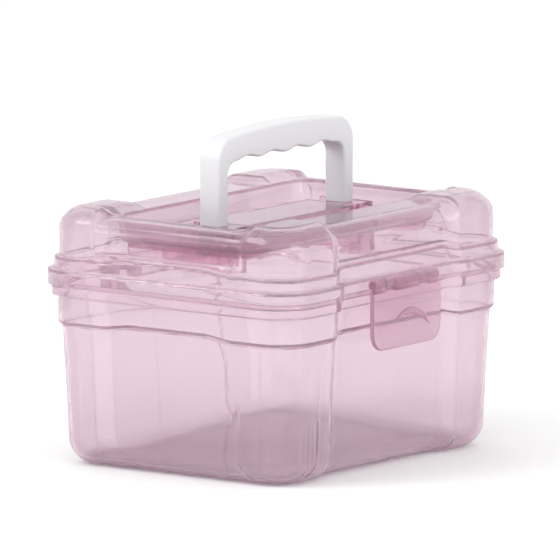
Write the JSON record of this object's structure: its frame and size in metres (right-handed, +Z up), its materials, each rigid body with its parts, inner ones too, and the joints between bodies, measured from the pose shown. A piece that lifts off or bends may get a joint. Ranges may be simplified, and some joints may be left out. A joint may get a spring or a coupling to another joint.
{
  "type": "sewing box",
  "caption": "Clear pink plastic sewing box with a hinged lid, a front latch and a white carry handle that folds down into the lid.",
  "frame": {"origin": "middle of the flat base, on the surface the box stands on", "axes": "+Z up; +Y along the length, which the handle follows; +X out of the long side with the latch, so the hinges are on the -X side"},
  "size_m": [0.182, 0.22, 0.189],
  "materials": {
    "clear_pink": "clear pale pink injection-moulded polystyrene, glossy",
    "deep_pink": "clear moulded polystyrene in a deeper pink, glossy",
    "white_gloss": "smooth glossy white moulded polypropylene"
  },
  "bodies": {
    "tub": {"tub": "clear_pink", "hinge_pin_near": "deep_pink", "hinge_pin_far": "deep_pink"},
    "lid": {"lid": "clear_pink", "handle_socket_near": "deep_pink", "handle_socket_far": "deep_pink", "handle_pin_near": "deep_pink", "handle_pin_far": "deep_pink", "latch_pin": "deep_pink"},
    "handle": {"handle": "white_gloss"},
    "front_latch": {"front_latch": "deep_pink"}
  },
  "joints": [
    {"name": "lid_hinge", "type": "hinge", "parent": "tub", "child": "lid", "pos_m": [-0.0882, 0, 0.1014], "axis": [0, -1, 0], "range_deg": [0, 95]},
    {"name": "handle_fold", "type": "hinge", "parent": "lid", "child": "handle", "pos_m": [0, 0, 0.132], "axis": [0, -1, 0], "range_deg": [0, 66]},
    {"name": "latch_swing", "type": "hinge", "parent": "lid", "child": "front_latch", "pos_m": [0.0882, 0, 0.107], "axis": [0, -1, 0], "range_deg": [0, 100]}
  ]
}
